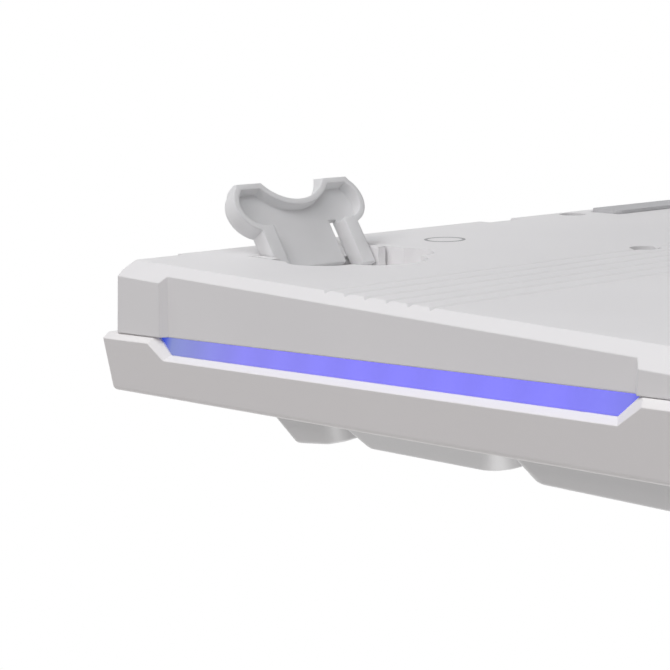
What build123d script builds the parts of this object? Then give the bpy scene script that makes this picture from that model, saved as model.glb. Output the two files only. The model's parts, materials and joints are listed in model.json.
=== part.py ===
from build123d import *
import os
from functools import cache
from math import atan2, cos, degrees, radians, sin

# A full-size keyboard that stands on its front pads and its two opened feet. Millimetres.
# Case frame: x to the right, y to the rear, z up from the flat underside.
# Deck frame: the same x, y along the plane of the rim's top edge, z above that plane.

# Keys
pitch = 19.05
field_units = 22.5
number_row_rear = 28.9
function_gap = pitch / 2
key_gap = 1.0
key_bottom = -2.8
key_shoulder = 0.6
shoulder_inset = 0.3
top_side_inset = 3.0
top_rear_inset = 1.8
top_front_inset = 2.5
key_bottom_radius = 2.8
key_top_radius = 4.8
key_crown_round = 1.0
key_wall = 1.3
key_roof = 2.0
dish_depth = 0.5
plunger_side = 6.0
plunger_bottom = -9.0
slide_gap = 0.3
post_radius = 1.6
post_bottom = -8.3
post_inset = 7.0
long_key = 2.0
# Heights of a key's rear and front top edges above the rim, from the function row to the bottom row
row_tops = [(6.9, 5.0), (6.0, 4.0), (4.1, 3.9), (4.0, 4.3), (4.5, 4.9), (4.9, 5.3)]

# Top case, in the deck frame
deck_slope = 3.32
rim_height = 21.12
skirt_x = 218.05
skirt_y = 74.9
skirt_corner = 1.5
skirt_draft = 7.8
lip_edge = -10.2
lip_bevel = 1.1
rim_round = 1.0
well_gap = 0.4
deck_top = -6.8
deck_bottom = -8.6
shell = 2.0
top_inner_x = 212.9
top_inner_front = -70.8
top_inner_rear = 71.0
chimney_side = 9.2
chimney_top = -3.6

# Slot and strips of the side lights, in the deck frame
slot_top = -8.25
slot_bottom = -13.25
slot_half = 52.9
slot_end_run = 1.27
slot_inner_x = 216.4
slot_bevel_x = 1.9
slot_bevel = 1.5
strip_inner_x = 213.7
strip_bottom = -11.3
strip_lean = 0.45
strip_gap = 0.1
strip_end_gap = 0.3
board_x = 211.9
board_thickness = 1.0
board_half = 50.0
board_zone = (-12.0, -8.8)
lamp_size = (0.7, 3.2, 1.6)
lamp_count = 10

# Bottom case, in the case frame
parting = -11.4
wall_x = 215.6
wall_draft = 1.8
wall_thickness = 2.3
floor_thickness = 2.0
case_front = -71.0
corner_rear = 69.9
bulge_x = 203.3
bulge_rear = 71.7
pillar_step = 1.15
pillar_front = 56.0
underside_x = 213.87
underside_front = -69.3
underside_corner = 68.1
underside_rear = 69.7
bevel_reach = 9.0
groove_first = 10.9
groove_pitch = 5.0
groove_count = 6
groove_width = 1.5
groove_depth = 0.5
groove_inner_x = 96.0
notch_x = 117.6
notch_size = (10.0, 3.0, 2.4)
rib_rows = (-61.0, -20.0, 18.0)
rib_thickness = 1.4
rib_half = 208.0

# Fold-out feet: local s runs from the hinge to the tip
foot_x = 181.7
hinge_y = 53.1
hinge_z = 2.0
foot_lean = 35.0
foot_thickness = 3.8
foot_tip = 17.201
tip_run = 2.05
lobe_x = 9.95
lobe_s = 12.4
lobe_radius = 5.6
crown_x = 9.0
crown_s = 14.0
crown_radius = 5.45
notch_radius = 9.2
notch_s = 22.3
stem_half = 11.7
tongue_half = 6.8
slit = 1.9
slit_end = 9.0
tongue_start = -0.4
heel_radius = 3.0
heel_reach = 2.3
foot_rim = 1.2
pocket_depth = 2.5
pin_radius = 1.2
pin_reach = 13.7
recess_depth = 5.3
recess_roof = 1.4
recess_gap = 0.45
recess_half = 14.4
recess_stop = 56.91
scoop_y = 34.8
scoop_radius = 8.5
ear_inner = 12.1
ear_outer = 13.9
ear_half_length = 3.3
ear_bore_gap = 0.08

# Rubber pads
pad_thickness = 1.4
pad_proud = 0.8
pad_gap = 0.1
pad_corner = 2.0
front_pad = (40.0, 9.0)
rear_pad = (30.0, 9.0)
front_pad_place = (150.0, -61.5)
rear_pad_place = (75.0, 62.0)

# Layers under the keys, from the dome sheet down
dome_height = 3.5
dome_radius = 4.2
dome_crown = 2.6
dome_wall = 0.6
dome_floor = -12.6
dome_sheet_thickness = 0.5
film_thickness = 0.15
plate_thickness = 0.8
contact_radius = 2.0
layer_x = 211.4
layer_front = -67.0
layer_rear = 57.4

# Screws
boss_radius = 3.2
lower_boss_radius = 4.4
post_hole = 1.5
screw_radius = 1.4
screw_head_radius = 2.6
screw_head = 1.6
screw_seat = 1.3
screw_grip = 4.0
well_radius = 3.0
edge_joint = -11.9
inner_joint = -14.8
joint_gap = 0.1
edge_bosses = [(x, 64.0) for x in (-97, 0, 97)]
inner_bosses = [(x, number_row_rear - pitch) for x in (-143, -29, 73.82, 135.73)]
inner_bosses += [(x, number_row_rear - 4 * pitch) for x in (-180, -62, 73.82, 180)]

# Controller, its socket and the clamp on the film tail
controller_x = 55.0
controller_size = (70.0, 10.2, 1.6)
controller_y = 63.5
chip_size = (9.0, 7.0, 1.2)
chip_x = 78.0
socket_size = (8.94, 7.35, 3.26)
socket_wall = 0.35
socket_round = 1.2
socket_rear = 71.6
socket_gap = 0.3
tongue_size = (6.6, 4.6, 0.7)
tail_size = (25.0, 8.0)
clamp_size = (36.0, 4.0, 1.2)
clamp_y = 62.0
clamp_half = 15.0
clamp_screw_radius = 1.2
clamp_hole = 1.35
clamp_head_radius = 2.2
clamp_head = 1.2
clamp_grip = 3.6
standoff_radius = 3.0

# Status window over the number pad
lens_x = 176.2
lens_y = 47.0
lens_size = (24.0, 3.4)
lens_flange = 0.8
lens_flange_thickness = 0.6
lens_gap = 0.1

# The stand: the feet's lower front edges and the pads' front edges touch the desk
lean = radians(foot_lean)
half_foot = foot_thickness / 2
tip_y = hinge_y + foot_tip * sin(lean) - half_foot * cos(lean)
tip_z = hinge_z - foot_tip * cos(lean) - half_foot * sin(lean)
pad_y = front_pad_place[1] - front_pad[1] / 2
tilt = degrees(atan2(-pad_proud - tip_z, tip_y - pad_y))


def stood(y, z):
    turn = radians(tilt)
    return y * cos(turn) - z * sin(turn), y * sin(turn) + z * cos(turn)


def tilted_plane(y, z, angle):
    turn = radians(angle)
    return Plane(origin=(0, y, z), x_dir=(1, 0, 0), z_dir=(0, -sin(turn), cos(turn)))


lip_rise = skirt_y * sin(radians(deck_slope))
lip_reach = skirt_y * cos(radians(deck_slope))
lip_set = -lip_edge * sin(radians(deck_slope))
rear_most = stood(lip_reach + lip_set, rim_height + lip_rise + lip_edge)[0]
front_most = stood(lip_set - lip_reach, rim_height - lip_rise + lip_edge)[0]
under = tilted_plane(-(rear_most + front_most) / 2, -stood(tip_y, tip_z)[1], tilt)
deck_origin = under.from_local_coords((0, 0, rim_height))
deck = tilted_plane(deck_origin.Y, deck_origin.Z, tilt + deck_slope)
case_front_view = Plane(origin=under.origin, x_dir=under.x_dir, z_dir=-under.y_dir)
case_side_view = Plane(origin=under.origin, x_dir=under.y_dir, z_dir=under.x_dir)
deck_front_view = Plane(origin=deck.origin, x_dir=deck.x_dir, z_dir=-deck.y_dir)
deck_side_view = Plane(origin=deck.origin, x_dir=deck.y_dir, z_dir=deck.x_dir)
print("tilt", round(tilt, 3), "underside origin", under.origin, "deck origin", deck.origin)


def finish(piece, name):
    piece.part.label = name
    export_step(piece.part, f"parts/{name}.step")


# The layout: node name, left edge in units, row, width in units, depth in rows
row_rear = [number_row_rear + function_gap + pitch]
row_rear += [number_row_rear - pitch * row for row in range(5)]
field_left = -field_units * pitch / 2
nav = 15.25
pad = 18.5
single_keys = [
    ("key_escape", 0, 0, 1, 1),
    ("key_backspace", 13, 1, 2, 1),
    ("key_tab", 0, 2, 1.5, 1),
    ("key_caps_lock", 0, 3, 1.75, 1),
    ("key_enter", 12.75, 3, 2.25, 1),
    ("key_left_shift", 0, 4, 2.25, 1),
    ("key_right_shift", 12.25, 4, 2.75, 1),
    ("key_space", 3.75, 5, 6.25, 1),
    ("key_up", nav + 1, 4, 1, 1),
    ("key_left", nav, 5, 1, 1),
    ("key_down", nav + 1, 5, 1, 1),
    ("key_right", nav + 2, 5, 1, 1),
    ("key_pad_lock", pad, 1, 1, 1),
    ("key_pad_divide", pad + 1, 1, 1, 1),
    ("key_pad_multiply", pad + 2, 1, 1, 1),
    ("key_pad_minus", pad + 3, 1, 1, 1),
    ("key_pad_7", pad, 2, 1, 1),
    ("key_pad_8", pad + 1, 2, 1, 1),
    ("key_pad_9", pad + 2, 2, 1, 1),
    ("key_pad_plus", pad + 3, 2, 1, 2),
    ("key_pad_4", pad, 3, 1, 1),
    ("key_pad_5", pad + 1, 3, 1, 1),
    ("key_pad_6", pad + 2, 3, 1, 1),
    ("key_pad_1", pad, 4, 1, 1),
    ("key_pad_2", pad + 1, 4, 1, 1),
    ("key_pad_3", pad + 2, 4, 1, 1),
    ("key_pad_enter", pad + 3, 4, 1, 2),
    ("key_pad_0", pad, 5, 2, 1),
    ("key_pad_point", pad + 2, 5, 1, 1),
]


def run_of_keys(name, start, row, count, width=1):
    return [(name, start + width * step, row, width, 1) for step in range(count)]


grouped_keys = []
for group_start in (2, 6.5, 11):
    grouped_keys += run_of_keys("keys_function", group_start, 0, 4)
grouped_keys += run_of_keys("keys_system", nav, 0, 3)
grouped_keys += run_of_keys("keys_number_row", 0, 1, 13)
grouped_keys += run_of_keys("keys_upper_letters", 1.5, 2, 12) + [("keys_upper_letters", 13.5, 2, 1.5, 1)]
grouped_keys += run_of_keys("keys_home_letters", 1.75, 3, 11)
grouped_keys += run_of_keys("keys_lower_letters", 2.25, 4, 10)
grouped_keys += run_of_keys("keys_modifiers", 0, 5, 3, 1.25) + run_of_keys("keys_modifiers", 10, 5, 4, 1.25)
grouped_keys += run_of_keys("keys_navigation", nav, 1, 3) + run_of_keys("keys_navigation", nav, 2, 3)
all_keys = single_keys + grouped_keys
# The wells of the deck: left edge in units, first row, width in units, depth in rows
wells = [(0, 0, 1, 1), (2, 0, 4, 1), (6.5, 0, 4, 1), (11, 0, 4, 1), (nav, 0, 3, 1), (0, 1, 15, 5)]
wells += [(nav, 1, 3, 2), (nav + 1, 4, 1, 1), (nav, 5, 3, 1), (pad, 1, 4, 5)]


def cell_centre(left, row, width, depth):
    return field_left + (left + width / 2) * pitch, row_rear[row] - depth * pitch / 2


key_centres = [cell_centre(*key[1:]) for key in all_keys]


def guide_offsets(width, depth):
    if width >= long_key:
        reach = width * pitch / 2 - post_inset
        return [(-reach, 0), (reach, 0)]
    if depth >= long_key:
        reach = depth * pitch / 2 - post_inset
        return [(0, -reach), (0, reach)]
    return []


post_centres = []
for key in all_keys:
    key_x, key_y = cell_centre(*key[1:])
    post_centres += [(key_x + x, key_y + y) for x, y in guide_offsets(*key[3:])]


def key_section(width, depth, height, insets, radius):
    side, rear, front = insets
    with BuildSketch(Plane.XY.offset(height)) as section:
        with Locations((0, (front - rear) / 2)):
            RectangleRounded(width - 2 * side, depth - front - rear, radius)
    return section.sketch


@cache
def key_shape(units, rows, rear_top, front_top):
    width = units * pitch - key_gap
    depth = rows * pitch - key_gap
    crown = max(rear_top, front_top)
    roof = min(rear_top, front_top) - dish_depth - key_roof
    top_half = width / 2 - top_side_inset
    dish = (top_half**2 + dish_depth**2) / (2 * dish_depth)
    slant = degrees(atan2(rear_top - front_top, depth))
    middle = (rear_top + front_top) / 2 - dish_depth
    top_insets = (top_side_inset, top_rear_inset, top_front_inset)
    part_way = (roof - key_shoulder) / (crown - key_shoulder)
    roof_insets = [shoulder_inset + (inset - shoulder_inset) * part_way + key_wall for inset in top_insets]
    outside = [
        key_section(width, depth, key_bottom, (0, 0, 0), key_bottom_radius),
        key_section(width, depth, key_shoulder, [shoulder_inset] * 3, key_bottom_radius),
        key_section(width, depth, crown, top_insets, key_top_radius),
    ]
    inside = [
        key_section(width, depth, key_bottom, [key_wall] * 3, key_bottom_radius / 2),
        key_section(width, depth, roof, roof_insets, key_bottom_radius / 2),
    ]
    with BuildPart() as key:
        loft(outside, ruled=True)
        with Locations(Location((0, 0, middle), (slant, 0, 0))):
            with Locations((0, 0, dish)):
                Cylinder(dish, 2 * depth, rotation=(90, 0, 0), mode=Mode.SUBTRACT)
        dished = key.faces().filter_by(GeomType.CYLINDER).sort_by(SortBy.AREA)[-1]
        fillet(dished.edges(), key_crown_round)
        loft(inside, ruled=True, mode=Mode.SUBTRACT)
        with BuildSketch(Plane.XY.offset(plunger_bottom)):
            Rectangle(plunger_side, plunger_side)
        extrude(amount=roof + key_roof / 2 - plunger_bottom)
        for x, y in guide_offsets(units, rows):
            with BuildSketch(Plane.XY.offset(post_bottom)):
                with Locations((x, y)):
                    Circle(post_radius)
            extrude(amount=roof + key_roof / 2 - post_bottom)
    return key.part


def key_node(name):
    members = []
    for left, row, width, depth in [key[1:] for key in all_keys if key[0] == name]:
        shape = key_shape(width, depth, row_tops[row][0], row_tops[row + depth - 1][1])
        members.append((shape, cell_centre(left, row, width, depth)))
    with BuildPart(deck) as keys:
        for shape, centre in members:
            with Locations(centre):
                add(shape)
    finish(keys, name)


for key_name in dict.fromkeys(key[0] for key in all_keys):
    key_node(key_name)


# The sloped-ended outline of a side light's slot or strip
def slot_face(half, top, bottom):
    long_half = half + (top - bottom) * slot_end_run
    Polygon((-half, top), (half, top), (long_half, bottom), (-long_half, bottom), align=None)


# Top case: a skirted rim around a lowered deck with a guide chimney for every plunger
with BuildPart(deck) as top_case:
    with BuildSketch(deck.offset(lip_edge)) as skirt:
        RectangleRounded(2 * skirt_x, 2 * skirt_y, skirt_corner)
    extrude(amount=-lip_edge, taper=skirt_draft)
    rim_face = top_case.faces().sort_by(Axis(deck.origin, deck.z_dir))[-1]
    fillet(rim_face.edges(), rim_round)
    extrude(skirt.sketch, amount=-lip_bevel, taper=45)
    with BuildSketch(deck.offset(lip_edge - lip_bevel)):
        with Locations((0, (top_inner_front + top_inner_rear) / 2)):
            Rectangle(2 * top_inner_x, top_inner_rear - top_inner_front)
    extrude(amount=deck_bottom - lip_edge + lip_bevel, mode=Mode.SUBTRACT)
    rear_space = row_rear[0] + well_gap + shell
    pad_space = row_rear[1] + well_gap + shell
    with BuildSketch(deck.offset(deck_bottom)):
        with Locations((0, (rear_space + top_inner_rear) / 2)):
            Rectangle(2 * top_inner_x, top_inner_rear - rear_space)
        with Locations((field_left + (pad + 2) * pitch, (pad_space + top_inner_rear) / 2)):
            Rectangle(4 * pitch - 2 * shell, top_inner_rear - pad_space)
    extrude(amount=-shell - deck_bottom, mode=Mode.SUBTRACT)
    with BuildSketch(deck.offset(deck_top)):
        for left, row, width, depth in wells:
            with Locations(cell_centre(left, row, width, depth)):
                Rectangle(width * pitch + 2 * well_gap, depth * pitch + 2 * well_gap)
    extrude(amount=-deck_top + rim_round, mode=Mode.SUBTRACT)
    with BuildSketch(deck.offset(deck_top)):
        with Locations(*key_centres):
            Rectangle(chimney_side, chimney_side)
    extrude(amount=chimney_top - deck_top)
    with BuildSketch(deck.offset(edge_joint + joint_gap)):
        with Locations(*edge_bosses):
            Circle(boss_radius)
    extrude(amount=-shell / 2 - edge_joint)
    with BuildSketch(deck.offset(inner_joint + joint_gap)):
        with Locations(*inner_bosses):
            Circle(boss_radius)
    extrude(amount=deck_bottom - inner_joint)
    for bosses, joint in ((edge_bosses, edge_joint), (inner_bosses, inner_joint)):
        with BuildSketch(deck.offset(joint)):
            with Locations(*bosses):
                Circle(post_hole)
        extrude(amount=screw_grip + joint_gap, mode=Mode.SUBTRACT)
    with BuildSketch(deck.offset(deck_bottom)):
        with Locations(*key_centres):
            Rectangle(plunger_side + 2 * slide_gap, plunger_side + 2 * slide_gap)
        with Locations(*post_centres):
            Circle(post_radius + slide_gap)
    extrude(amount=chimney_top - deck_bottom, mode=Mode.SUBTRACT)
    for side in (-1, 1):
        for reach, grow in ((slot_inner_x, 0), (slot_inner_x + slot_bevel_x, slot_bevel)):
            with BuildSketch(deck_side_view.offset(side * reach)):
                slot_face(slot_half + grow, slot_top + grow, slot_bottom)
        loft(mode=Mode.SUBTRACT)
        with BuildSketch(deck_side_view.offset(side * slot_inner_x)):
            slot_face(slot_half, slot_top, slot_bottom)
        extrude(amount=-side * (slot_inner_x - board_x), mode=Mode.SUBTRACT)
    with BuildSketch(deck.offset(-shell)):
        with Locations((lens_x, lens_y)):
            Rectangle(lens_size[0] + 2 * lens_gap, lens_size[1] + 2 * lens_gap)
    extrude(amount=2 * shell, mode=Mode.SUBTRACT)
finish(top_case, "top_case")

# A foot's recess takes up the folded head, with a round scoop in front of it for a fingertip
recess_front = hinge_y - lobe_s


def recess_outline(middle, grow):
    room = recess_gap + grow
    with Locations((middle - lobe_x, recess_front), (middle + lobe_x, recess_front)):
        Circle(lobe_radius + room)
    crown_y = hinge_y - crown_s
    with Locations((middle - crown_x, crown_y), (middle + crown_x, crown_y)):
        Circle(crown_radius + room)
    with Locations((middle, recess_front)):
        Rectangle(2 * lobe_x, 2 * (lobe_radius + room))
    with Locations((middle, scoop_y)):
        Circle(scoop_radius + grow)


# Bottom case: walls with corner pillars, one bevel plane along each edge of the underside
half_outline = [(bulge_x, bulge_rear), (bulge_x, corner_rear), (wall_x + pillar_step, corner_rear)]
half_outline += [(wall_x + pillar_step, pillar_front), (wall_x, pillar_front - pillar_step)]
half_outline += [(wall_x, pillar_step - pillar_front), (wall_x + pillar_step, -pillar_front)]
half_outline += [(wall_x + pillar_step, case_front)]
outline = half_outline + [(-x, y) for x, y in reversed(half_outline)]
with BuildPart(under) as bottom_case:
    with BuildSketch(under):
        with BuildLine():
            Polyline(*outline, close=True)
        make_face()
    extrude(amount=2 * rim_height, taper=-wall_draft)
    for side in (-1, 1):
        with BuildSketch(case_front_view):
            with BuildLine():
                edge = side * underside_x
                far = side * (underside_x + bevel_reach)
                Polyline((edge, 0), (far, 0), (far, bevel_reach), close=True)
            make_face()
        extrude(amount=2 * skirt_y, both=True, mode=Mode.SUBTRACT)
        with BuildSketch(case_side_view.offset(side * bulge_x)):
            with BuildLine():
                far = underside_corner + bevel_reach
                Polyline((underside_corner, 0), (far, 0), (far, bevel_reach), close=True)
            make_face()
        extrude(amount=side * (skirt_x - bulge_x), mode=Mode.SUBTRACT)
    with BuildSketch(case_side_view):
        with BuildLine():
            far = underside_rear + bevel_reach
            Polyline((underside_rear, 0), (far, 0), (far, bevel_reach), close=True)
        make_face()
    extrude(amount=bulge_x, both=True, mode=Mode.SUBTRACT)
    with BuildSketch(case_side_view):
        with BuildLine():
            far = underside_front - bevel_reach
            Polyline((underside_front, 0), (far, 0), (far, bevel_reach), close=True)
        make_face()
    extrude(amount=skirt_x, both=True, mode=Mode.SUBTRACT)
    inner_x = wall_x - wall_thickness
    inner_front = case_front + wall_thickness
    with BuildSketch(under.offset(floor_thickness)):
        for half_width, rear in ((inner_x, corner_rear), (bulge_x - wall_thickness, bulge_rear)):
            with Locations((0, (inner_front + rear - wall_thickness) / 2)):
                Rectangle(2 * half_width, rear - wall_thickness - inner_front)
    extrude(amount=2 * rim_height, mode=Mode.SUBTRACT)
    # Ribs under the plate, screw bosses, standoffs and the roofs of the foot recesses
    with BuildSketch(under.offset(floor_thickness / 2)):
        for row in rib_rows:
            with Locations((0, row)):
                Rectangle(2 * rib_half, rib_thickness)
    extrude(amount=rim_height)
    plate_bottom = dome_floor - dome_sheet_thickness - 3 * film_thickness - plate_thickness
    rib_limit = deck.offset(plate_bottom - joint_gap)
    with BuildSketch(rib_limit):
        with Locations((0, (inner_front + layer_rear) / 2)):
            Rectangle(2 * inner_x - pad_gap, layer_rear - inner_front)
    extrude(amount=2 * rim_height, mode=Mode.SUBTRACT)
    for bosses, joint in ((edge_bosses, edge_joint), (inner_bosses, inner_joint)):
        with BuildSketch(deck.offset(joint)):
            with Locations(*bosses):
                Circle(lower_boss_radius)
        extrude(amount=-rim_height)
    split(bisect_by=under, keep=Keep.TOP)
    board_bottom = plate_bottom + plate_thickness - controller_size[2]
    with BuildSketch(deck.offset(board_bottom)):
        with Locations(*[(controller_x + side * clamp_half, clamp_y) for side in (-1, 1)]):
            Circle(standoff_radius)
    extrude(until=Until.NEXT, dir=-deck.z_dir)
    for side in (-1, 1):
        with BuildSketch(under):
            recess_outline(side * foot_x, recess_roof)
            with Locations((side * foot_x, (recess_front + recess_stop + recess_roof) / 2)):
                Rectangle(2 * (recess_half + recess_roof), recess_stop + recess_roof - recess_front)
        extrude(amount=recess_depth + recess_roof)
        with BuildSketch(under):
            recess_outline(side * foot_x, 0)
        extrude(amount=recess_depth, mode=Mode.SUBTRACT)
        with BuildSketch(case_side_view.offset(side * foot_x)):
            stop_run = hinge_z * sin(lean) / cos(lean)
            Polygon(
                (recess_front, 0),
                (recess_stop, 0),
                (recess_stop - stop_run, hinge_z),
                (hinge_y + heel_radius + recess_gap, hinge_z),
                (hinge_y + heel_radius + recess_gap, recess_depth),
                (recess_front, recess_depth),
                align=None,
            )
        extrude(amount=recess_half, both=True, mode=Mode.SUBTRACT)
        with BuildSketch(under):
            ear_middle = (ear_inner + ear_outer) / 2
            with Locations(*[(side * foot_x + ear * ear_middle, hinge_y) for ear in (-1, 1)]):
                Rectangle(ear_outer - ear_inner, 2 * ear_half_length)
        extrude(amount=recess_depth + recess_roof / 2)
        with BuildSketch(case_side_view.offset(side * foot_x)):
            with Locations((hinge_y, hinge_z)):
                Circle(pin_radius + ear_bore_gap)
        extrude(amount=ear_outer, both=True, mode=Mode.SUBTRACT)
        with BuildSketch(under):
            with Locations((side * notch_x, underside_rear - notch_size[1])):
                Rectangle(notch_size[0] + 2 * wall_thickness, 2 * notch_size[1])
        extrude(amount=notch_size[2] + wall_thickness)
        with BuildSketch(under):
            with Locations((side * notch_x, underside_rear)):
                Rectangle(notch_size[0], 2 * notch_size[1])
        extrude(amount=notch_size[2], mode=Mode.SUBTRACT)
        with BuildSketch(case_side_view.offset(side * groove_inner_x)):
            for step in range(groove_count):
                middle = groove_first - groove_pitch * step
                with BuildLine():
                    left = (middle - groove_width / 2, 0)
                    right = (middle + groove_width / 2, 0)
                    Polyline(left, right, (middle, groove_depth), close=True)
                make_face()
        extrude(amount=side * (skirt_x - groove_inner_x), mode=Mode.SUBTRACT)
    with BuildSketch(under):
        for (x, y), (width, depth) in ((front_pad_place, front_pad), (rear_pad_place, rear_pad)):
            with Locations((-x, y), (x, y)):
                Rectangle(width + 2 * pad_gap, depth + 2 * pad_gap)
    extrude(amount=pad_thickness - pad_proud, mode=Mode.SUBTRACT)
    # Screw wells from below, clearance holes, the socket's opening, then the parting plane
    for bosses, joint in ((edge_bosses, edge_joint), (inner_bosses, inner_joint)):
        with BuildSketch(deck.offset(joint - screw_seat)):
            with Locations(*bosses):
                Circle(well_radius)
        extrude(amount=-rim_height, mode=Mode.SUBTRACT)
        with BuildSketch(deck.offset(joint - 2 * screw_seat)):
            with Locations(*bosses):
                Circle(post_hole)
        extrude(amount=rim_height, mode=Mode.SUBTRACT)
    socket_middle = board_bottom - socket_size[2] / 2
    with BuildSketch(deck_front_view):
        with Locations((controller_x, socket_middle)):
            RectangleRounded(socket_size[0] + 2 * socket_gap, socket_size[2] + 2 * socket_gap, socket_round)
    extrude(amount=-2 * skirt_y, mode=Mode.SUBTRACT)
    with BuildSketch(deck.offset(board_bottom - clamp_grip)):
        with Locations(*[(controller_x + side * clamp_half, clamp_y) for side in (-1, 1)]):
            Circle(clamp_hole)
    extrude(amount=clamp_grip, mode=Mode.SUBTRACT)
    split(bisect_by=deck.offset(parting), keep=Keep.BOTTOM)
finish(bottom_case, "bottom_case")


# Fold-out feet, each in its opened place
def head_outline(inset):
    with Locations((-lobe_x, lobe_s), (lobe_x, lobe_s)):
        Circle(lobe_radius - inset)
    with Locations((-crown_x, crown_s), (crown_x, crown_s)):
        Circle(crown_radius - inset)
    low = lobe_radius - inset
    with Locations((0, lobe_s - low / 2)):
        Rectangle(2 * lobe_x, low)
    high = crown_s + crown_radius - inset - lobe_s
    with Locations((0, lobe_s + high / 2)):
        Rectangle(2 * crown_x, high)
    with Locations((0, notch_s)):
        Circle(notch_radius + inset, mode=Mode.SUBTRACT)


def make_foot(side, name):
    turn = radians(foot_lean + tilt)
    hinge = under.from_local_coords((side * foot_x, hinge_y, hinge_z))
    plate = Plane(origin=hinge, x_dir=(1, 0, 0), z_dir=(0, cos(turn), sin(turn)))
    across = Plane(origin=hinge, x_dir=plate.y_dir, z_dir=(1, 0, 0))
    front = plate.offset(-half_foot)
    arm_inner = tongue_half + slit
    with BuildPart(plate) as foot:
        with BuildSketch(front):
            head_outline(0)
            with Locations((0, lobe_s / 2)):
                Rectangle(2 * stem_half, lobe_s)
        extrude(amount=foot_thickness)
        with BuildSketch(across):
            Circle(half_foot)
        extrude(amount=stem_half, both=True)
        with BuildSketch(across):
            Circle(heel_radius)
            with Locations((-heel_reach / 2, -half_foot / 2)):
                Rectangle(heel_reach, half_foot, mode=Mode.INTERSECT)
        extrude(amount=stem_half, both=True)
        with BuildSketch(across):
            far = foot_tip + tip_run + foot_thickness
            Polygon(
                (foot_tip, -half_foot),
                (foot_tip + tip_run, half_foot),
                (far, half_foot),
                (far, -half_foot),
                align=None,
            )
        extrude(amount=lobe_x + lobe_radius, both=True, mode=Mode.SUBTRACT)
        with BuildSketch(front):
            head_outline(foot_rim)
            with Locations((0, far - foot_rim / 2)):
                Rectangle(2 * (lobe_x + lobe_radius), 2 * (far - foot_tip) + foot_rim, mode=Mode.SUBTRACT)
            with Locations((0, lobe_s / 2 - half_foot)):
                Rectangle(2 * arm_inner, lobe_s + half_foot)
        extrude(amount=pocket_depth, mode=Mode.SUBTRACT)
        with BuildSketch(front):
            with Locations(*[(x * (tongue_half + slit / 2), slit_end / 2 - half_foot) for x in (-1, 1)]):
                Rectangle(slit, slit_end + 2 * half_foot)
            with Locations((0, tongue_start - half_foot)):
                Rectangle(2 * arm_inner, 2 * half_foot)
        extrude(amount=foot_thickness, mode=Mode.SUBTRACT)
        with BuildSketch(across.offset(-pin_reach), across.offset(stem_half)):
            Circle(pin_radius)
        extrude(amount=pin_reach - stem_half)
    finish(foot, name)


make_foot(1, "foot_right")
make_foot(-1, "foot_left")


# Light strips behind the side slots and the boards that carry their lamps
def make_side_light(side, word):
    outer_x = side * slot_inner_x
    with BuildPart(deck) as strip:
        with BuildSketch(deck_front_view):
            with BuildLine():
                Polyline(
                    (side * strip_inner_x, slot_top - strip_gap),
                    (outer_x, slot_top - strip_gap),
                    (outer_x - side * strip_lean, strip_bottom),
                    (side * strip_inner_x, strip_bottom),
                    close=True,
                )
            make_face()
        extrude(amount=2 * slot_half, both=True)
        with BuildSketch(deck_side_view.offset(side * strip_inner_x)):
            slot_face(slot_half - strip_end_gap, slot_top, strip_bottom)
        extrude(amount=side * (slot_inner_x - strip_inner_x), mode=Mode.INTERSECT)
    finish(strip, f"light_strip_{word}")
    zone_middle = (board_zone[0] + board_zone[1]) / 2
    lamp_x = board_x + board_thickness + lamp_size[0] / 2
    with BuildPart(deck) as board:
        with Locations((side * (board_x + board_thickness / 2), 0, zone_middle)):
            Box(board_thickness, 2 * board_half, board_zone[1] - board_zone[0])
        with Locations((side * lamp_x, 0, zone_middle)):
            with GridLocations(0, 2 * board_half / lamp_count, 1, lamp_count):
                Box(*lamp_size)
    finish(board, f"strip_light_board_{word}")


make_side_light(1, "right")
make_side_light(-1, "left")

# Layers under the deck
layer_middle = (layer_front + layer_rear) / 2
layer_depth = layer_rear - layer_front
post_clearance = boss_radius + slide_gap


def layer_face():
    with Locations((0, layer_middle)):
        Rectangle(2 * layer_x, layer_depth)
    with Locations(*inner_bosses):
        Circle(post_clearance, mode=Mode.SUBTRACT)


with BuildPart(deck) as dome_sheet:
    with BuildSketch(deck.offset(dome_floor)):
        layer_face()
    extrude(amount=-dome_sheet_thickness)
    lowest = (Align.CENTER, Align.CENTER, Align.MIN)
    with Locations(*[(x, y, dome_floor) for x, y in key_centres]):
        Cone(dome_radius, dome_crown, dome_height, align=lowest)
    with Locations(*[(x, y, dome_floor) for x, y in key_centres]):
        inner = dome_radius - dome_wall
        Cone(inner, dome_crown - dome_wall, dome_height - dome_wall, align=lowest, mode=Mode.SUBTRACT)
finish(dome_sheet, "dome_sheet")

film_top = dome_floor - dome_sheet_thickness
with BuildPart(deck) as upper_film:
    with BuildSketch(deck.offset(film_top)):
        layer_face()
    extrude(amount=-film_thickness)
finish(upper_film, "membrane_upper_film")

with BuildPart(deck) as spacer_film:
    with BuildSketch(deck.offset(film_top - film_thickness)):
        layer_face()
        with Locations(*key_centres):
            Circle(contact_radius, mode=Mode.SUBTRACT)
    extrude(amount=-film_thickness)
finish(spacer_film, "membrane_spacer_film")

with BuildPart(deck) as lower_film:
    with BuildSketch(deck.offset(film_top - 2 * film_thickness)):
        layer_face()
        with Locations((controller_x, layer_rear + tail_size[1] / 2)):
            Rectangle(*tail_size)
    extrude(amount=-film_thickness)
finish(lower_film, "membrane_lower_film")

plate_top = film_top - 3 * film_thickness
with BuildPart(deck) as support_plate:
    with BuildSketch(deck.offset(plate_top)):
        layer_face()
    extrude(amount=-plate_thickness)
finish(support_plate, "support_plate")

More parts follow.
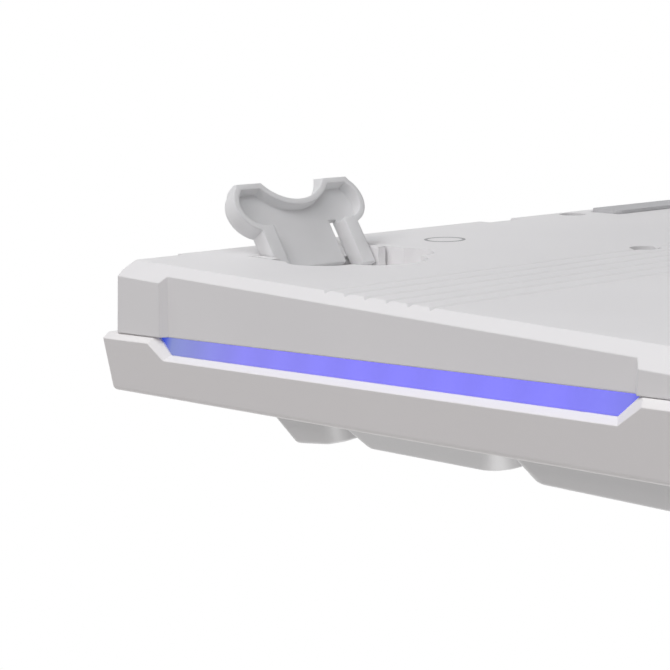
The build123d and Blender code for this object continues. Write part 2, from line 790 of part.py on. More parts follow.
# Controller board with its chip, the data socket on its underside and the clamp on the film tail
clamp_places = [(controller_x + side * clamp_half, clamp_y) for side in (-1, 1)]
with BuildPart(deck) as controller_board:
    with BuildSketch(deck.offset(plate_top)):
        with Locations((controller_x, controller_y)):
            Rectangle(controller_size[0], controller_size[1])
        with Locations(*clamp_places):
            Circle(clamp_hole, mode=Mode.SUBTRACT)
    extrude(amount=-controller_size[2])
    with Locations((chip_x, controller_y, board_bottom - chip_size[2] / 2)):
        Box(*chip_size)
finish(controller_board, "controller_board")

with BuildPart(deck) as data_socket:
    socket_front = socket_rear - socket_size[1]
    socket_origin = deck.from_local_coords((controller_x, socket_front, socket_middle))
    with BuildSketch(Plane(origin=socket_origin, x_dir=deck.x_dir, z_dir=deck.y_dir)):
        RectangleRounded(socket_size[0], socket_size[2], socket_round)
    extrude(amount=socket_size[1])
    opening = data_socket.faces().sort_by(Axis(deck.origin, deck.y_dir))[-1]
    offset(amount=-socket_wall, openings=opening)
    with Locations((controller_x, socket_front + tongue_size[1] / 2 + socket_wall / 2, socket_middle)):
        Box(*tongue_size)
finish(data_socket, "data_socket")

bar_bottom = plate_top + film_thickness
with BuildPart(deck) as clamp_bar:
    with BuildSketch(deck.offset(bar_bottom)):
        with Locations((controller_x, clamp_y)):
            Rectangle(clamp_size[0], clamp_size[1])
        with Locations(*clamp_places):
            Circle(clamp_hole, mode=Mode.SUBTRACT)
    extrude(amount=clamp_size[2])
finish(clamp_bar, "tail_clamp_bar")


# Each run of screws: places, height of the seat under the head, signed length of the shank
def make_screws(name, runs, radius, head_radius, head):
    with BuildPart(deck) as screws:
        for places, seat, length in runs:
            with BuildSketch(deck.offset(seat)):
                with Locations(*places):
                    Circle(radius)
            extrude(amount=length)
            with BuildSketch(deck.offset(seat)):
                with Locations(*places):
                    Circle(head_radius)
            extrude(amount=-head if length > 0 else head)
    finish(screws, name)


clamp_seat = bar_bottom + clamp_size[2]
clamp_run = (clamp_places, clamp_seat, board_bottom - clamp_grip + joint_gap - clamp_seat)
make_screws("clamp_screws", [clamp_run], clamp_screw_radius, clamp_head_radius, clamp_head)
screw_length = screw_seat + screw_grip
case_runs = [(edge_bosses, edge_joint - screw_seat, screw_length)]
case_runs += [(inner_bosses, inner_joint - screw_seat, screw_length)]
make_screws("case_screws", case_runs, screw_radius, screw_head_radius, screw_head)

# Status window and rubber pads
with BuildPart(deck) as status_lens:
    with BuildSketch(deck.offset(-shell)):
        with Locations((lens_x, lens_y)):
            Rectangle(*lens_size)
    extrude(amount=shell)
    with BuildSketch(deck.offset(-shell)):
        with Locations((lens_x, lens_y)):
            Rectangle(lens_size[0] + 2 * lens_flange, lens_size[1] + 2 * lens_flange)
    extrude(amount=-lens_flange_thickness)
finish(status_lens, "status_lens")


def make_pads(name, place, size):
    with BuildPart(under) as pads:
        with BuildSketch(under.offset(-pad_proud)):
            with Locations((-place[0], place[1]), place):
                RectangleRounded(size[0], size[1], pad_corner)
        extrude(amount=pad_thickness)
    finish(pads, name)


make_pads("front_rubber_pads", front_pad_place, front_pad)
make_pads("rear_rubber_pads", rear_pad_place, rear_pad)
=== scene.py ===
import json
import math

import bmesh
import bpy
from mathutils import Matrix, Vector
from mathutils.bvhtree import BVHTree


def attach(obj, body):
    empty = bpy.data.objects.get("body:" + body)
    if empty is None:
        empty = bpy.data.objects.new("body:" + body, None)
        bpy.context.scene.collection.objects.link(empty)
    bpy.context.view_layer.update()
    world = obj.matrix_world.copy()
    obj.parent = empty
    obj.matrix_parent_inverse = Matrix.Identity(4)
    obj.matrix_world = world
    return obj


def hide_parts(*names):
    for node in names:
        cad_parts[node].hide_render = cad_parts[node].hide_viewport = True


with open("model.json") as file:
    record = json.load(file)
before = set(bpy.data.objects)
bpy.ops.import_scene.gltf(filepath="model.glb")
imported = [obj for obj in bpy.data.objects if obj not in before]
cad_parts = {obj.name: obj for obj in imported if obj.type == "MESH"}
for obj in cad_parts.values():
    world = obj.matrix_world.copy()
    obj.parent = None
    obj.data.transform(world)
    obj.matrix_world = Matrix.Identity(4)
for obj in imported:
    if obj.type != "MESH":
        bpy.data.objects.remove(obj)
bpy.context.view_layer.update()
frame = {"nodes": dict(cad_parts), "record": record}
nodes = frame["nodes"]
mm = 0.001
print("frame loaded,", len(nodes), "nodes")

# the two leaning planes everything is laid out on: the flat underside and the top of the rim
stand = {
    "underTilt": 5.55,
    "underOrigin": (0, 0.468152 * mm, 7.17922 * mm),
    "deckTilt": 8.87,
    "deckOrigin": (0, -1.5744 * mm, 28.2002 * mm),
}


def leaningFrame(origin, tilt):
    return Matrix.Translation(origin) @ Matrix.Rotation(math.radians(tilt), 4, "X")


underFrame = leaningFrame(stand["underOrigin"], stand["underTilt"])
deckFrame = leaningFrame(stand["deckOrigin"], stand["deckTilt"])
deckUp = deckFrame.to_3x3() @ Vector((0, 0, 1))


class Wire:
    # a socket of a node tree; sums on it add Math nodes
    def __init__(self, tree, socket=None):
        self.tree = tree
        self.socket = socket

    def node(self, kind, settings=None, sockets=None, output=0):
        made = self.tree.nodes.new("ShaderNode" + kind)
        for name, value in (settings or {}).items():
            if name == "stops":
                ramp = made.color_ramp
                while len(ramp.elements) < len(value):
                    ramp.elements.new(1.0)
                for element, (place, colour) in zip(ramp.elements, value):
                    element.position = place
                    element.color = (*colour, 1)
            else:
                setattr(made, name, value)
        for name, value in (sockets or {}).items():
            if isinstance(value, Wire):
                self.tree.links.new(value.socket, made.inputs[name])
            else:
                made.inputs[name].default_value = value
        return Wire(self.tree, made.outputs[output] if made.outputs else None)

    def maths(self, operation, first, second=0.0):
        return self.node("Math", {"operation": operation}, {0: first, 1: second})

    def __add__(self, other):
        return self.maths("ADD", self, other)

    def __sub__(self, other):
        return self.maths("SUBTRACT", self, other)

    def __rsub__(self, other):
        return self.maths("SUBTRACT", other, self)

    def __mul__(self, other):
        return self.maths("MULTIPLY", self, other)

    def __truediv__(self, other):
        return self.maths("DIVIDE", self, other)

    __radd__ = __add__

    def blend(self, share, first, second):
        return self.node("Mix", {"data_type": "RGBA"}, {0: share, 6: first, 7: second}, 2)


def newMaterial(name):
    made = bpy.data.materials.new(name)
    made.use_nodes = True
    made.node_tree.nodes.clear()
    return made, Wire(made.node_tree)


def noise(wire, place, size, detail=2.0, roughness=0.5):
    sockets = {"Vector": place, "Scale": 1 / size, "Detail": detail, "Roughness": roughness}
    return wire.node("TexNoise", {}, sockets)


def finishSurface(wire, sockets):
    surface = wire.node("BsdfPrincipled", {}, sockets)
    wire.node("OutputMaterial", {}, {"Surface": surface})


# moulded plastic: fine spark-eroded grain, faint clouding of colour and gloss, softened edges
moulding = {"cloudSheen": 0.16, "grainSheen": 0.12, "edgeSamples": 4, "ior": 1.5}


def mouldedPlastic(name, look):
    made, wire = newMaterial(name)
    place = wire.node("TexCoord", output="Object")
    grain = noise(wire, place, look["grain"], detail=3.0, roughness=0.6)
    cloud = noise(wire, place, look["cloud"])
    rounded = wire.node("Bevel", {"samples": moulding["edgeSamples"]}, {"Radius": look["edge"]})
    sheen = (cloud - 0.5) * moulding["cloudSheen"] + (grain - 0.5) * moulding["grainSheen"]
    bump = {"Height": grain, "Strength": look["bump"], "Distance": look["depth"], "Normal": rounded}
    finishSurface(wire, {
        "Base Color": wire.blend(cloud, (*look["shade"], 1), (*look["colour"], 1)),
        "Roughness": look["rough"] + sheen,
        "Normal": wire.node("Bump", {}, bump),
        "IOR": moulding["ior"],
        "Specular IOR Level": look["gloss"],
    })
    return made


caseLook = {"colour": (0.846, 0.838, 0.842), "shade": (0.796, 0.788, 0.792), "grain": 0.35 * mm,
            "cloud": 26 * mm, "bump": 0.25, "depth": 0.03 * mm, "edge": 0.35 * mm, "rough": 0.5,
            "gloss": 0.25}
# rim plastic: a lighter, warmer copy of the case plastic; its extra lightness is painted light for the lamp
# light the rim lacks
rimLook = {**caseLook, "colour": (0.885, 0.870, 0.868), "shade": (0.845, 0.830, 0.828), "edge": 0.25 * mm}
keyLook = {"colour": (0.82, 0.82, 0.825), "shade": (0.775, 0.77, 0.77), "grain": 0.25 * mm, "cloud": 14 * mm,
           "bump": 0.3, "depth": 0.03 * mm, "edge": 0.3 * mm, "rough": 0.46, "gloss": 0.45}
footLook = {"colour": (0.81, 0.815, 0.82), "shade": (0.765, 0.765, 0.77), "grain": 0.4 * mm, "cloud": 9 * mm,
            "bump": 0.15, "depth": 0.02 * mm, "edge": 0.45 * mm, "rough": 0.42, "gloss": 0.5}
clampLook = {"colour": (0.06, 0.06, 0.065), "shade": (0.04, 0.04, 0.045), "grain": 0.3 * mm, "cloud": 5 * mm,
             "bump": 0.3, "depth": 0.03 * mm, "edge": 0.15 * mm, "rough": 0.55, "gloss": 0.4}
casePlastic = mouldedPlastic("casePlastic", caseLook)
rimPlastic = mouldedPlastic("rimPlastic", rimLook)
keyPlastic = mouldedPlastic("keyPlastic", keyLook)
footPlastic = mouldedPlastic("footPlastic", footLook)
clampPlastic = mouldedPlastic("clampPlastic", clampLook)

# the glowing strip from front to rear: deep blue at its ends, violet along the middle, with a faint swell
# over each lamp
glow = {
    "body": (0.02, 0.02, 0.05),
    "pale": (0.04, 0.04, 0.08),
    "haze": 1.2 * mm,
    "rough": 0.3,
    "hazeSheen": 0.15,
    "half": 56.6 * mm,
    "lampPitch": 10 * mm,
    "swell": 0.03,
    "strength": 1.0,
    "stops": [
        (0.0, (0.01, 0.04, 0.60)),
        (0.02, (0.18, 0.18, 0.80)),
        (0.12, (0.20, 0.185, 0.93)),
        (0.5, (0.20, 0.18, 0.91)),
        (0.77, (0.205, 0.19, 0.82)),
        (0.92, (0.19, 0.215, 0.60)),
        (0.962, (0.17, 0.21, 0.52)),
        (0.982, (0.01, 0.05, 0.58)),
    ],
}


def glowingStrip(name, look):
    made, wire = newMaterial(name)
    place = wire.node("TexCoord", output="Object")
    along = wire.node("SeparateXYZ", {}, {"Vector": place}, "Y")
    share = (along + look["half"]) / (2 * look["half"])
    colour = wire.node("ValToRGB", {"stops": look["stops"]}, {"Fac": share})
    wave = wire.maths("COSINE", along * (2 * math.pi / look["lampPitch"]))
    level = 1 - look["swell"] + wave * look["swell"]
    shown = wire.blend(level, (0, 0, 0, 1), colour)
    haze = noise(wire, place, look["haze"])
    finishSurface(wire, {
        "Base Color": wire.blend(haze, (*look["body"], 1), (*look["pale"], 1)),
        "Roughness": look["rough"] + haze * look["hazeSheen"],
        "Emission Color": shown,
        "Emission Strength": look["strength"],
    })
    return made


stripGlow = glowingStrip("stripGlow", glow)

# rubber: matt, slightly dusty, with a soft mottled bump
rubber = {"rough": 0.72, "dustSheen": 0.2, "bump": 0.35, "depth": 0.05 * mm, "gloss": 0.3}


def softRubber(name, look):
    made, wire = newMaterial(name)
    place = wire.node("TexCoord", output="Object")
    dust = noise(wire, place, look["dust"], detail=4.0, roughness=0.65)
    pores = noise(wire, place, look["pores"])
    bump = {"Height": pores, "Strength": rubber["bump"], "Distance": rubber["depth"]}
    finishSurface(wire, {
        "Base Color": wire.blend(dust, (*look["shade"], 1), (*look["colour"], 1)),
        "Roughness": rubber["rough"] + dust * rubber["dustSheen"],
        "Normal": wire.node("Bump", {}, bump),
        "Specular IOR Level": rubber["gloss"],
    })
    return made


padLook = {"colour": (0.62, 0.62, 0.63), "shade": (0.5, 0.5, 0.51), "dust": 2.5 * mm, "pores": 0.5 * mm}
domeLook = {"colour": (0.72, 0.74, 0.76), "shade": (0.6, 0.62, 0.64), "dust": 6 * mm, "pores": 0.8 * mm}
padRubber = softRubber("padRubber", padLook)
domeRubber = softRubber("domeRubber", domeLook)

# rolled or plated steel: fine streaks, drawn out along one direction
steel = {"streakSheen": 0.2, "bump": 0.15, "depth": 0.01 * mm}


def streakedSteel(name, look):
    made, wire = newMaterial(name)
    place = wire.node("TexCoord", output="Object")
    stretched = wire.node("Mapping", {}, {"Vector": place, "Scale": look["stretch"]})
    streak = noise(wire, stretched, look["streak"], detail=5.0, roughness=0.7)
    bump = {"Height": streak, "Strength": steel["bump"], "Distance": steel["depth"]}
    finishSurface(wire, {
        "Base Color": wire.blend(streak, (*look["shade"], 1), (*look["colour"], 1)),
        "Metallic": 1.0,
        "Roughness": look["rough"] + streak * steel["streakSheen"],
        "Normal": wire.node("Bump", {}, bump),
    })
    return made


plateLook = {"colour": (0.62, 0.63, 0.64), "shade": (0.5, 0.51, 0.52), "stretch": (0.05, 1, 1),
             "streak": 0.6 * mm, "rough": 0.25}
screwLook = {"colour": (0.5, 0.5, 0.51), "shade": (0.36, 0.36, 0.37), "stretch": (1, 1, 1),
             "streak": 0.25 * mm, "rough": 0.3}
socketLook = {"colour": (0.7, 0.7, 0.72), "shade": (0.6, 0.6, 0.62), "stretch": (1, 0.1, 1),
              "streak": 0.3 * mm, "rough": 0.2}
plateSteel = streakedSteel("plateSteel", plateLook)
screwSteel = streakedSteel("screwSteel", screwLook)
socketSteel = streakedSteel("socketSteel", socketLook)

# lacquered board or film: a weave under the lacquer and tracks in a square maze
lacquer = {"weave": 0.4 * mm, "rough": 0.28, "weaveSheen": 0.15, "bump": 0.4, "depth": 0.03 * mm}


def lacqueredBoard(name, look):
    made, wire = newMaterial(name)
    place = wire.node("TexCoord", output="Object")
    weave = noise(wire, place, lacquer["weave"])
    cells = wire.node("TexVoronoi", {"distance": "CHEBYCHEV", "feature": "DISTANCE_TO_EDGE"},
                      {"Vector": place, "Scale": 1 / look["cell"]})
    track = wire.maths("LESS_THAN", cells, look["track"])
    plain = wire.blend(weave, (*look["shade"], 1), (*look["colour"], 1))
    bump = {"Height": track, "Strength": lacquer["bump"], "Distance": lacquer["depth"]}
    finishSurface(wire, {
        "Base Color": wire.blend(track, plain, (*look["trackColour"], 1)),
        "Roughness": lacquer["rough"] + weave * lacquer["weaveSheen"],
        "Normal": wire.node("Bump", {}, bump),
    })
    return made


greenLook = {"colour": (0.03, 0.22, 0.1), "shade": (0.02, 0.16, 0.07), "trackColour": (0.05, 0.33, 0.15),
             "cell": 2.4 * mm, "track": 0.12}
whiteLook = {"colour": (0.82, 0.82, 0.8), "shade": (0.74, 0.74, 0.72), "trackColour": (0.86, 0.86, 0.84),
             "cell": 3 * mm, "track": 0.1}
filmLook = {"colour": (0.62, 0.66, 0.7), "shade": (0.56, 0.6, 0.64), "trackColour": (0.42, 0.43, 0.44),
            "cell": 9.5 * mm, "track": 0.08}
greenBoard = lacqueredBoard("greenBoard", greenLook)
whiteBoard = lacqueredBoard("whiteBoard", whiteLook)
printedFilm = lacqueredBoard("printedFilm", filmLook)


# smoky window with moulding flow marks
def smokyWindow(name, look):
    made, wire = newMaterial(name)
    place = wire.node("TexCoord", output="Object")
    flow = noise(wire, place, look["flow"], detail=3.0)
    bump = {"Height": flow, "Strength": look["bump"], "Distance": look["depth"]}
    finishSurface(wire, {
        "Base Color": wire.blend(flow, (*look["shade"], 1), (*look["colour"], 1)),
        "Roughness": look["rough"] + flow * look["flowSheen"],
        "Coat Weight": look["coat"] + flow * look["flowCoat"],
        "Normal": wire.node("Bump", {}, bump),
    })
    return made


lensLook = {"colour": (0.34, 0.35, 0.38), "shade": (0.26, 0.27, 0.3), "flow": 3 * mm, "rough": 0.08,
            "flowSheen": 0.1, "coat": 0.3, "flowCoat": 0.2, "bump": 0.1, "depth": 0.02 * mm}
lensPlastic = smokyWindow("lensPlastic", lensLook)

# printed ink: slightly worn
ink = {"rough": 0.35, "wearSheen": 0.25, "gloss": 0.4}


def printedInk(name, look):
    made, wire = newMaterial(name)
    place = wire.node("TexCoord", output="Object")
    wear = noise(wire, place, look["wear"], detail=4.0, roughness=0.7)
    finishSurface(wire, {
        "Base Color": wire.blend(wear, (*look["colour"], 1), (*look["worn"], 1)),
        "Roughness": ink["rough"] + wear * ink["wearSheen"],
        "Specular IOR Level": ink["gloss"],
    })
    return made


legendLook = {"colour": (0.10, 0.10, 0.115), "worn": (0.19, 0.19, 0.2), "wear": 0.9 * mm}
markLook = {"colour": (0.25, 0.25, 0.26), "worn": (0.42, 0.42, 0.43), "wear": 0.6 * mm}
legendInk = printedInk("legendInk", legendLook)
markInk = printedInk("markInk", markLook)
print("materials made")

finishes = {
    "keycaps": keyPlastic,
    "feet": footPlastic,
    "lower_case": casePlastic,
    "upper_case": rimPlastic,
    "light_strips": stripGlow,
    "strip_boards": whiteBoard,
    "dome_rubber": domeRubber,
    "films": printedFilm,
    "plate_steel": plateSteel,
    "circuit_board": greenBoard,
    "socket_steel": socketSteel,
    "clamp_plastic": clampPlastic,
    "screw_steel": screwSteel,
    "lens": lensPlastic,
    "pad_rubber": padRubber,
}
slotOf = {row["node"]: row["material_slot"] for row in frame["record"]["subparts"]}
bodies = frame["record"]["behaviour"]["bodies"]
bodyOf = {node: body for body, members in bodies.items() for node in members}
for name, piece in nodes.items():
    piece.data.materials.clear()
    piece.data.materials.append(finishes[slotOf[name]])
print("CAD nodes dressed")


def newPiece(name, mesh, material, body):
    piece = bpy.data.objects.new(name, mesh)
    bpy.context.scene.collection.objects.link(piece)
    mesh.materials.clear()
    mesh.materials.append(material)
    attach(piece, body)
    return piece


def roundEdges(bm, edges, radius, segments):
    bmesh.ops.bevel(bm, geom=edges, offset=radius, offset_type="OFFSET", segments=segments, profile=0.5,
                    affect="EDGES", clamp_overlap=True, material=-1)


# feet with rounded edges: copies of the solids, welded and bevelled; angles in degrees
footEdge = {"radius": 0.4 * mm, "segments": 3, "bevelOver": 40, "flatUnder": 0.6, "sharpOver": 35,
            "weld": 0.001 * mm}


def roundedFoot(node):
    bm = bmesh.new()
    bm.from_mesh(nodes[node].data)
    bmesh.ops.remove_doubles(bm, verts=bm.verts, dist=footEdge["weld"])
    flat = math.radians(footEdge["flatUnder"])
    bmesh.ops.dissolve_limit(bm, angle_limit=flat, verts=bm.verts, edges=bm.edges)
    limit = math.radians(footEdge["bevelOver"])
    sharp = [edge for edge in bm.edges if edge.is_manifold and edge.calc_face_angle(0) > limit]
    roundEdges(bm, sharp, footEdge["radius"], footEdge["segments"])
    bmesh.ops.triangulate(bm, faces=[face for face in bm.faces if len(face.verts) > 4])
    for face in bm.faces:
        face.smooth = True
    mesh = bpy.data.meshes.new(node + "_rounded")
    bm.to_mesh(mesh)
    bm.free()
    imported = mesh.attributes.get("custom_normal")
    if imported:
        mesh.attributes.remove(imported)
    mesh.set_sharp_from_angle(angle=math.radians(footEdge["sharpOver"]))
    piece = newPiece(node + "_rounded", mesh, finishes[slotOf[node]], bodyOf[node])
    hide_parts(node)


for name in ("foot_right", "foot_left"):
    roundedFoot(name)
print("edges of the feet rounded")

# key field on the deck; its columns count in key pitches from the left, its rows from the rear
layout = {"pitch": 19.05 * mm, "units": 22.5, "numberRowRear": 28.9 * mm, "gap": 9.525 * mm, "nav": 15.25,
          "pad": 18.5, "clear": 20 * mm}
rowRear = [layout["numberRowRear"] + layout["gap"] + layout["pitch"]]
rowRear += [layout["numberRowRear"] - layout["pitch"] * step for step in range(5)]


# where a line straight down onto the deck at x, y meets a piece, and how that spot faces
def spotUnder(surface, x, y):
    return surface.ray_cast(deckFrame @ Vector((x, y, layout["clear"])), -deckUp)[:2]


def surfaceOf(piece):
    corners = [piece.matrix_world @ vert.co for vert in piece.data.vertices]
    return BVHTree.FromPolygons(corners, [list(face.vertices) for face in piece.data.polygons])


# legends: plain letters, figures and words printed on the key tops
printing = {"letter": 4.6 * mm, "pair": 3.68 * mm, "word": 2.5 * mm, "lines": 0.85, "arcSteps": 3,
            "thickness": 0.03 * mm, "lift": 0.012 * mm, "inset": 6.0 * mm, "rearward": 0.9 * mm,
            "weld": 0.0001 * mm}


def rowOf(texts, start, row, width=1.0):
    return [(text, start + width * step, row) for step, text in enumerate(texts)]


nav = layout["nav"]
pad = layout["pad"]
legends = {
    "key_escape": [("Esc", 0, 0)],
    "keys_function": rowOf(["F1", "F2", "F3", "F4"], 2, 0) + rowOf(["F5", "F6", "F7", "F8"], 6.5, 0)
    + rowOf(["F9", "F10", "F11", "F12"], 11, 0),
    "keys_system": rowOf(["Print", "Scroll", "Pause"], nav, 0),
    "keys_number_row": rowOf(["~\n`", "!\n1", "@\n2", "#\n3", "$\n4", "%\n5", "^\n6", "&\n7", "*\n8", "(\n9",
                              ")\n0", "_\n-", "+\n="], 0, 1),
    "key_backspace": [("Backspace", 13, 1)],
    "key_tab": [("Tab", 0, 2)],
    "keys_upper_letters": rowOf(list("QWERTYUIOP") + ["{\n[", "}\n]"], 1.5, 2) + [("|\n\\", 13.5, 2)],
    "key_caps_lock": [("Caps Lock", 0, 3)],
    "keys_home_letters": rowOf(list("ASDFGHJKL") + [":\n;", "\"\n'"], 1.75, 3),
    "key_enter": [("Enter", 12.75, 3)],
    "key_left_shift": [("Shift", 0, 4)],
    "keys_lower_letters": rowOf(list("ZXCVBNM") + ["<\n,", ">\n.", "?\n/"], 2.25, 4),
    "key_right_shift": [("Shift", 12.25, 4)],
    "keys_modifiers": [("Ctrl", 0, 5), ("Alt", 2.5, 5)]
    + rowOf(["Alt", "Fn", "Menu", "Ctrl"], 10, 5, 1.25),
    "keys_navigation": rowOf(["Insert", "Home", "Page\nUp"], nav, 1)
    + rowOf(["Delete", "End", "Page\nDown"], nav, 2),
    "key_up": [("↑", nav + 1, 4)],
    "key_left": [("←", nav, 5)],
    "key_down": [("↓", nav + 1, 5)],
    "key_right": [("→", nav + 2, 5)],
    "key_pad_lock": [("Num\nLock", pad, 1)],
    "key_pad_divide": [("/", pad + 1, 1)],
    "key_pad_multiply": [("*", pad + 2, 1)],
    "key_pad_minus": [("-", pad + 3, 1)],
    "key_pad_7": [("7", pad, 2)],
    "key_pad_8": [("8", pad + 1, 2)],
    "key_pad_9": [("9", pad + 2, 2)],
    "key_pad_plus": [("+", pad + 3, 2)],
    "key_pad_4": [("4", pad, 3)],
    "key_pad_5": [("5", pad + 1, 3)],
    "key_pad_6": [("6", pad + 2, 3)],
    "key_pad_1": [("1", pad, 4)],
    "key_pad_2": [("2", pad + 1, 4)],
    "key_pad_3": [("3", pad + 2, 4)],
    "key_pad_enter": [("Enter", pad + 3, 4)],
    "key_pad_0": [("0", pad, 5)],
    "key_pad_point": [(".", pad + 2, 5)],
}


def letterSize(text):
    if len(text) == 1:
        return printing["letter"]
    if len(text) == 3 and "\n" in text:
        return printing["pair"]
    return printing["word"]


def letterMesh(text):
    curve = bpy.data.curves.new("letters", "FONT")
    curve.body = text
    curve.size = letterSize(text)
    curve.space_line = printing["lines"]
    curve.extrude = printing["thickness"] / 2
    curve.resolution_u = printing["arcSteps"]
    holder = bpy.data.objects.new("letters", curve)
    bpy.context.scene.collection.objects.link(holder)
    bpy.context.view_layer.update()
    evaluated = holder.evaluated_get(bpy.context.evaluated_depsgraph_get())
    mesh = bpy.data.meshes.new_from_object(evaluated)
    bpy.data.objects.remove(holder)
    bpy.data.curves.remove(curve)
    return mesh


def printLegends(node, words):
    top = surfaceOf(nodes[node])
    bm = bmesh.new()
    for text, left, row in words:
        keyLeft = (left - layout["units"] / 2) * layout["pitch"]
        mesh = letterMesh(text)
        first = len(bm.verts)
        bm.from_mesh(mesh)
        bpy.data.meshes.remove(mesh)
        bm.verts.ensure_lookup_table()
        added = bm.verts[first:]
        lowest = min(v.co.x for v in added)
        highest = max(v.co.y for v in added)
        for vert in added:
            x = keyLeft + printing["inset"] + vert.co.x - lowest
            y = rowRear[row] - printing["inset"] + printing["rearward"] + vert.co.y - highest
            spot = spotUnder(top, x, y)[0]
            vert.co = spot + deckUp * (printing["lift"] + printing["thickness"] / 2 + vert.co.z)
    mesh = bpy.data.meshes.new(node + "_legend")
    bmesh.ops.remove_doubles(bm, verts=bm.verts, dist=printing["weld"])
    bm.to_mesh(mesh)
    bm.free()
    newPiece(node + "_legend", mesh, legendInk, bodyOf[node])


for node, words in legends.items():
    printLegends(node, words)
print("legends printed")

# raised bars that the fingers find: on F and J and on the pad's 5
homing = {"size": (4.0 * mm, 0.8 * mm, 0.5 * mm), "round": 0.2 * mm, "segments": 2, "sunk": 0.2 * mm,
          "forward": 6.2 * mm,
          "keys": {"keys_home_letters": [(4.75, 3), (7.75, 3)], "key_pad_5": [(pad + 1, 3)]}}


def raiseBars(node, cells):
    top = surfaceOf(nodes[node])
    bm = bmesh.new()
    for left, row in cells:
        x = (left + 0.5 - layout["units"] / 2) * layout["pitch"]
        y = rowRear[row] - layout["pitch"] / 2 - homing["forward"]
        spot, facing = spotUnder(top, x, y)
        turn = Vector((0, 0, 1)).rotation_difference(facing).to_matrix().to_4x4()
        lift = homing["size"][2] / 2 - homing["sunk"]
        place = Matrix.Translation(spot + facing * lift) @ turn @ Matrix.Diagonal((*homing["size"], 1))
        bmesh.ops.create_cube(bm, size=1, matrix=place)
    roundEdges(bm, bm.edges[:], homing["round"], homing["segments"])
    mesh = bpy.data.meshes.new(node + "_bars")
    bm.to_mesh(mesh)
    bm.free()
    newPiece(node + "_bars", mesh, keyPlastic, bodyOf[node])


for node, cells in homing["keys"].items():
    raiseBars(node, cells)

# a plain printed ring on the underside
ring = {"place": (152.07 * mm, 49.6 * mm), "outer": 4.2 * mm, "inner": 3.55 * mm, "thickness": 0.03 * mm,
        "lift": 0.012 * mm, "sides": 64}


def printRing():
    bm = bmesh.new()
    low = Matrix.Translation((*ring["place"], -ring["lift"] - ring["thickness"]))
    outer = bmesh.ops.create_circle(bm, segments=ring["sides"], radius=ring["outer"], matrix=low)["verts"]
    inner = bmesh.ops.create_circle(bm, segments=ring["sides"], radius=ring["inner"], matrix=low)["verts"]
    edges = {edge for vert in outer + inner for edge in vert.link_edges}
    made = bmesh.ops.bridge_loops(bm, edges=list(edges))["faces"]
    raised = bmesh.ops.extrude_face_region(bm, geom=made)["geom"]
    for part in raised:
        if isinstance(part, bmesh.types.BMVert):
            part.co.z += ring["thickness"]
    bmesh.ops.recalc_face_normals(bm, faces=bm.faces)
    bmesh.ops.transform(bm, matrix=underFrame, verts=bm.verts)
    mesh = bpy.data.meshes.new("underside_ring")
    bm.to_mesh(mesh)
    bm.free()
    newPiece("underside_ring", mesh, markInk, bodyOf["bottom_case"])


printRing()
print("bars and ring added")

# camera where the photograph was taken from: below and beside the raised corner, rolled upside down
shot = {
    "place": (0.37234, -0.18233, -0.04772),
    "right": (-0.7761, -0.6291, -0.0439),
    "ahead": (-0.6188, 0.7463, 0.2450),
    "lens": 85.88,
    "sensor": 36.0,
    "nearest": 0.005,
}


def placeCamera():
    data = bpy.data.cameras.new("shotCamera")
    camera = bpy.data.objects.new("shotCamera", data)
    bpy.context.scene.collection.objects.link(camera)
    ahead = Vector(shot["ahead"]).normalized()
    right = Vector(shot["right"])
    right = (right - ahead * right.dot(ahead)).normalized()
    up = right.cross(ahead)
    turn = Matrix((right, up, -ahead)).transposed()
    camera.matrix_world = Matrix.Translation(shot["place"]) @ turn.to_4x4()
    data.lens = shot["lens"]
    data.sensor_width = shot["sensor"]
    data.clip_start = shot["nearest"]
    bpy.context.scene.camera = camera


placeCamera()

# soft lamps: three low ones light the underside through the floor, one above lights the keys; a level is how
# bright a white surface that faces the lamp shows
lamps = {
    "belowRear": {"towards": (0.40, 0.50, -0.77), "level": 0.30, "tint": (0.94, 0.975, 1.0)},
    "belowFront": {"towards": (0.45, -0.45, -0.77), "level": 0.20, "tint": (0.94, 0.975, 1.0)},
    "lowRight": {"towards": (0.75, 0.00, -0.66), "level": 0.25, "tint": (1.0, 0.955, 0.96)},
    "above": {"towards": (0.00, 0.00, 1.00), "level": 0.46, "tint": (1.0, 1.0, 1.0)},
}
lampStand = {"distance": 1.3, "size": 0.6, "aim": (0.05, 0.0, 0.03)}


def hangLamps():
    for name, lamp in lamps.items():
        data = bpy.data.lights.new(name, "AREA")
        data.size = lampStand["size"]
        data.color = lamp["tint"]
        data.energy = lamp["level"] * (math.pi * lampStand["distance"]) ** 2
        piece = bpy.data.objects.new(name, data)
        bpy.context.scene.collection.objects.link(piece)
        towards = Vector(lamp["towards"]).normalized()
        piece.location = Vector(lampStand["aim"]) + towards * lampStand["distance"]
        piece.rotation_mode = "QUATERNION"
        piece.rotation_quaternion = towards.to_track_quat("Z", "Y")
        piece.visible_camera = False


hangLamps()

# even light from all round; what is seen of the room is plain white
room = {"even": 0.26, "tint": (1.0, 0.968, 0.968), "white": 1.0}


def seenRays(wire):
    kinds = ("Is Camera Ray", "Is Glossy Ray", "Is Transmission Ray")
    camera, glossy, passing = [wire.node("LightPath", output=kind) for kind in kinds]
    return wire.maths("MAXIMUM", wire.maths("MAXIMUM", camera, glossy), passing)


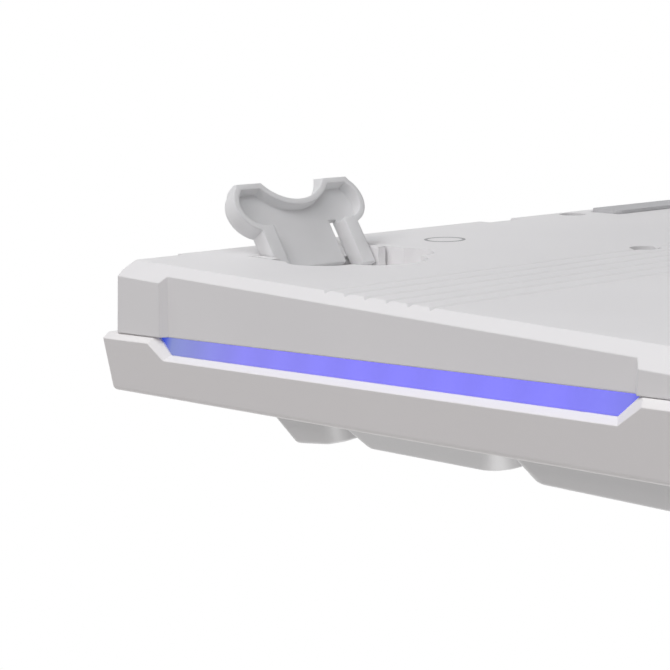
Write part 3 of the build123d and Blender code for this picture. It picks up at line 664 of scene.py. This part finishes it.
def lightRoom():
    world = bpy.data.worlds.new("room")
    bpy.context.scene.world = world
    world.use_nodes = True
    world.node_tree.nodes.clear()
    wire = Wire(world.node_tree)
    even = wire.node("Background", {}, {"Color": (*room["tint"], 1), "Strength": room["even"]})
    white = wire.node("Background", {}, {"Color": (1, 1, 1, 1), "Strength": room["white"]})
    sky = wire.node("MixShader", {}, {0: seenRays(wire), 1: even, 2: white})
    wire.node("OutputWorld", {}, {"Surface": sky})


lightRoom()

# pale floor, seen only from above, that fades into the white room; light comes up through it, so its glow is
# dimmed near the object as a painted shadow, which adds to the real shadow that the lamp above casts on the
# paper
ground = {"half": 4.0, "colour": (0.36, 0.36, 0.362), "mottle": 0.98, "fibre": 3 * mm, "rough": 0.9,
          "glow": 0.66, "shade": (0.3, 0.3, 0.31), "reach": 0.09, "shadeSamples": 8,
          "fadeFrom": 0.45, "fadeTo": 1.5}


def layFloor():
    bm = bmesh.new()
    bmesh.ops.create_grid(bm, x_segments=1, y_segments=1, size=ground["half"])
    mesh = bpy.data.meshes.new("floor")
    bm.to_mesh(mesh)
    bm.free()
    floor = bpy.data.objects.new("floor", mesh)
    bpy.context.scene.collection.objects.link(floor)
    made, wire = newMaterial("floorPaper")
    place = wire.node("TexCoord", output="Object")
    fibre = noise(wire, place, ground["fibre"], detail=4.0)
    away = wire.node("VectorMath", {"operation": "LENGTH"}, {0: place}, "Value")
    fade = {"Value": away, "From Min": ground["fadeFrom"], "From Max": ground["fadeTo"], "To Min": 1.0,
            "To Max": 0.0}
    near = wire.node("MapRange", {"interpolation_type": "SMOOTHSTEP"}, fade)
    front = 1 - wire.node("NewGeometry", output="Backfacing")
    tint = tuple(c * ground["mottle"] for c in ground["colour"])
    samples = {"samples": ground["shadeSamples"]}
    # painted shadow: near the object the floor's glow darkens towards ground's shade colour, by ambient
    # occlusion
    openness = wire.node("AmbientOcclusion", samples, {"Distance": ground["reach"]}, "AO")
    paper = wire.node("BsdfPrincipled", {}, {
        "Base Color": wire.blend(fibre, (*tint, 1), (*ground["colour"], 1)),
        "Roughness": ground["rough"],
        "Specular IOR Level": 0.0,
        "Emission Color": wire.blend(openness, (*ground["shade"], 1), (1, 1, 1, 1)),
        "Emission Strength": ground["glow"],
    })
    clear = wire.node("BsdfTransparent")
    mixed = wire.node("MixShader", {}, {0: seenRays(wire) * front * near, 1: clear, 2: paper})
    wire.node("OutputMaterial", {}, {"Surface": mixed})
    mesh.materials.append(made)


layFloor()
bpy.context.scene.view_settings.view_transform = "Standard"
print("stage lit")
